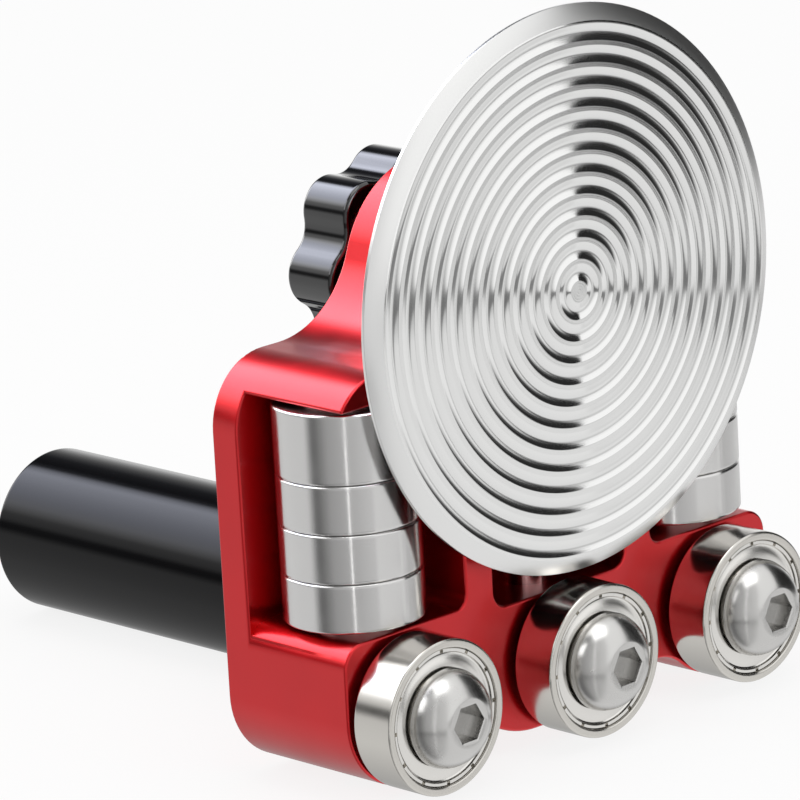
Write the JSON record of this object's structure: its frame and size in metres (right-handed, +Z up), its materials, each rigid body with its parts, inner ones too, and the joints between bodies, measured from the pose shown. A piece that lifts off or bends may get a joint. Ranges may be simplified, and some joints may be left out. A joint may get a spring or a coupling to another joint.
{
  "type": "sheet metal edge folder",
  "caption": "Hand-held roller folder: a grooved disc on a sprung, screw-set spindle turns up a sheet's edge against ring rollers, and ball bearings carry the sheet.",
  "frame": {"origin": "on the handle's axis where it leaves the rear face of the frame block", "axes": "+Y back along the handle, away from the disc; +Z up through the disc's axis; +X across the tool, to the right as seen from the disc's side"},
  "size_m": [0.0848, 0.1208, 0.1053],
  "materials": {
    "red_anodised": "red anodised, satin gloss",
    "black_anodised": "black anodised, glossy",
    "turned_steel": "face turned in concentric rings",
    "ring_steel": "fine ground",
    "bearing_steel": "polished",
    "shield_steel": "pressed sheet, bright",
    "cage_nylon": "moulded nylon",
    "screw_steel": "bright zinc plated",
    "pin_steel": "ground",
    "spring_steel": "oiled spring steel",
    "core_aluminium": "plain turned",
    "bush_bronze": "turned bronze",
    "knob_plastic": "moulded, glossy black"
  },
  "bodies": {
    "frame": {"frame_block": "red_anodised", "handle_grip": "black_anodised", "handle_core": "core_aluminium", "handle_end_cap": "black_anodised", "handle_stud": "screw_steel", "bearing_screws": "screw_steel", "bearing_spacers": "screw_steel", "left_bearing_inner_ring": "bearing_steel", "middle_bearing_inner_ring": "bearing_steel", "right_bearing_inner_ring": "bearing_steel", "left_axle_pin": "pin_steel", "right_axle_pin": "pin_steel", "middle_axle_pin": "pin_steel", "middle_roller_clips": "spring_steel", "stack_washers": "screw_steel", "spindle_bush": "bush_bronze", "guide_screw": "screw_steel", "thrust_washer": "screw_steel", "opening_spring": "spring_steel"},
    "left_bearing": {"left_bearing_outer_ring": "bearing_steel", "left_bearing_shields": "shield_steel"},
    "left_bearing_cage_and_balls": {"left_bearing_cage": "cage_nylon", "left_bearing_balls": "bearing_steel"},
    "middle_bearing": {"middle_bearing_outer_ring": "bearing_steel", "middle_bearing_shields": "shield_steel"},
    "middle_bearing_cage_and_balls": {"middle_bearing_cage": "cage_nylon", "middle_bearing_balls": "bearing_steel"},
    "right_bearing": {"right_bearing_outer_ring": "bearing_steel", "right_bearing_shields": "shield_steel"},
    "right_bearing_cage_and_balls": {"right_bearing_cage": "cage_nylon", "right_bearing_balls": "bearing_steel"},
    "spindle": {"spindle": "pin_steel", "spindle_circlip": "spring_steel", "disc_bearing_inner_ring": "bearing_steel"},
    "disc": {"forming_disc": "turned_steel", "disc_hub": "turned_steel", "disc_bearing_outer_ring": "bearing_steel", "disc_bearing_shields": "shield_steel", "disc_bearing_circlip": "spring_steel"},
    "disc_cage_and_balls": {"disc_bearing_cage": "cage_nylon", "disc_bearing_balls": "bearing_steel"},
    "knob": {"adjusting_knob": "knob_plastic", "knob_insert": "bush_bronze"},
    "left_ring_1": {"left_ring_1": "ring_steel"},
    "left_ring_2": {"left_ring_2": "ring_steel"},
    "left_ring_3": {"left_ring_3": "ring_steel"},
    "left_ring_4": {"left_ring_4": "ring_steel"},
    "right_ring_1": {"right_ring_1": "ring_steel"},
    "right_ring_2": {"right_ring_2": "ring_steel"},
    "right_ring_3": {"right_ring_3": "ring_steel"},
    "right_ring_4": {"right_ring_4": "ring_steel"},
    "middle_roller": {"middle_roller": "ring_steel"}
  },
  "joints": [
    {"name": "left_bearing_spin", "type": "hinge", "parent": "frame", "child": "left_bearing", "pos_m": [-0.0314, -0.0285, 0], "axis": [0, 1, 0], "continuous": true},
    {"name": "left_bearing_cage_spin", "type": "hinge", "parent": "frame", "child": "left_bearing_cage_and_balls", "pos_m": [-0.0314, -0.0285, 0], "axis": [0, 1, 0], "continuous": true},
    {"name": "middle_bearing_spin", "type": "hinge", "parent": "frame", "child": "middle_bearing", "pos_m": [0, -0.0285, 0], "axis": [0, 1, 0], "continuous": true},
    {"name": "middle_bearing_cage_spin", "type": "hinge", "parent": "frame", "child": "middle_bearing_cage_and_balls", "pos_m": [0, -0.0285, 0], "axis": [0, 1, 0], "continuous": true},
    {"name": "right_bearing_spin", "type": "hinge", "parent": "frame", "child": "right_bearing", "pos_m": [0.0314, -0.0285, 0], "axis": [0, 1, 0], "continuous": true},
    {"name": "right_bearing_cage_spin", "type": "hinge", "parent": "frame", "child": "right_bearing_cage_and_balls", "pos_m": [0.0314, -0.0285, 0], "axis": [0, 1, 0], "continuous": true},
    {"name": "knob_turn", "type": "hinge", "parent": "frame", "child": "knob", "pos_m": [0, 0.0075, 0.0531], "axis": [0, 1, 0], "range_deg": [-540, 270]},
    {"name": "spindle_slide", "type": "slide", "parent": "frame", "child": "spindle", "axis": [0, 1, 0], "range_m": [-0.00095, 0.0019], "deforming": ["opening_spring"]},
    {"name": "disc_spin", "type": "hinge", "parent": "spindle", "child": "disc", "pos_m": [0, -0.024, 0.0531], "axis": [0, 1, 0], "continuous": true},
    {"name": "disc_cage_spin", "type": "hinge", "parent": "spindle", "child": "disc_cage_and_balls", "pos_m": [0, -0.024, 0.0531], "axis": [0, 1, 0], "continuous": true},
    {"name": "left_ring_1_spin", "type": "hinge", "parent": "frame", "child": "left_ring_1", "pos_m": [-0.032, -0.0156, 0.0156], "axis": [0, 0, 1], "continuous": true},
    {"name": "left_ring_2_spin", "type": "hinge", "parent": "frame", "child": "left_ring_2", "pos_m": [-0.032, -0.0156, 0.0226], "axis": [0, 0, 1], "continuous": true},
    {"name": "left_ring_3_spin", "type": "hinge", "parent": "frame", "child": "left_ring_3", "pos_m": [-0.032, -0.0156, 0.0296], "axis": [0, 0, 1], "continuous": true},
    {"name": "left_ring_4_spin", "type": "hinge", "parent": "frame", "child": "left_ring_4", "pos_m": [-0.032, -0.0156, 0.0366], "axis": [0, 0, 1], "continuous": true},
    {"name": "right_ring_1_spin", "type": "hinge", "parent": "frame", "child": "right_ring_1", "pos_m": [0.032, -0.0156, 0.0156], "axis": [0, 0, 1], "continuous": true},
    {"name": "right_ring_2_spin", "type": "hinge", "parent": "frame", "child": "right_ring_2", "pos_m": [0.032, -0.0156, 0.0226], "axis": [0, 0, 1], "continuous": true},
    {"name": "right_ring_3_spin", "type": "hinge", "parent": "frame", "child": "right_ring_3", "pos_m": [0.032, -0.0156, 0.0296], "axis": [0, 0, 1], "continuous": true},
    {"name": "right_ring_4_spin", "type": "hinge", "parent": "frame", "child": "right_ring_4", "pos_m": [0.032, -0.0156, 0.0366], "axis": [0, 0, 1], "continuous": true},
    {"name": "middle_roller_spin", "type": "hinge", "parent": "frame", "child": "middle_roller", "pos_m": [0, -0.0171, 0.024], "axis": [0, 0, 1], "continuous": true}
  ],
  "couplings": [
    {"joint": "left_bearing_cage_spin", "follows": "left_bearing_spin", "ratio": 0.62667},
    {"joint": "middle_bearing_cage_spin", "follows": "middle_bearing_spin", "ratio": 0.62667},
    {"joint": "right_bearing_cage_spin", "follows": "right_bearing_spin", "ratio": 0.62667},
    {"joint": "spindle_slide", "follows": "knob_turn", "m_per_rad": -0.00019894},
    {"joint": "disc_cage_spin", "follows": "disc_spin", "ratio": 0.62667}
  ]
}
